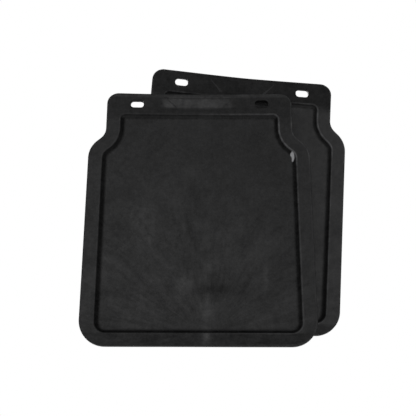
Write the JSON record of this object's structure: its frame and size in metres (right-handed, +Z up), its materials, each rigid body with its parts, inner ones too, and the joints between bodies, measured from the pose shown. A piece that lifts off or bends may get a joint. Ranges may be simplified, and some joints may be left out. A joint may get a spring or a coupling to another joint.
{
  "type": "mud flap",
  "caption": "Moulded black rubber mud flaps with a raised flat rim, a slotted head strip and a sunk panel, one hanging behind the other.",
  "frame": {"origin": "midway between the front flap's two slots, on its front face", "axes": "+X across the flaps to the right as seen from the front, +Z up, -Y out of the front flap's recessed face"},
  "size_m": [0.2952, 0.0637, 0.3362],
  "materials": {
    "flap_rubber": "satin"
  },
  "bodies": {
    "front_head": {"front_flap_head": "flap_rubber"},
    "front_skirt": {"front_flap_skirt": "flap_rubber"},
    "rear_head": {"rear_flap_head": "flap_rubber"},
    "rear_skirt": {"rear_flap_skirt": "flap_rubber"}
  },
  "joints": [
    {"name": "front_flex", "type": "hinge", "parent": "front_head", "child": "front_skirt", "pos_m": [0, 0.003, -0.0216], "axis": [1, 0, 0], "range_deg": [-65, 0], "stiffness_Nm_per_rad": 0.4},
    {"name": "rear_lift_off", "type": "slide", "parent": "front_head", "child": "rear_head", "axis": [-0.0639, 0.9882, 0.1392], "range_m": [0, 0.15]},
    {"name": "rear_flex", "type": "hinge", "parent": "rear_head", "child": "rear_skirt", "pos_m": [0.04884, 0.01748, 0.00916], "axis": [0.9956, 0.0727, -0.0587], "range_deg": [0, 65], "stiffness_Nm_per_rad": 0.4}
  ]
}
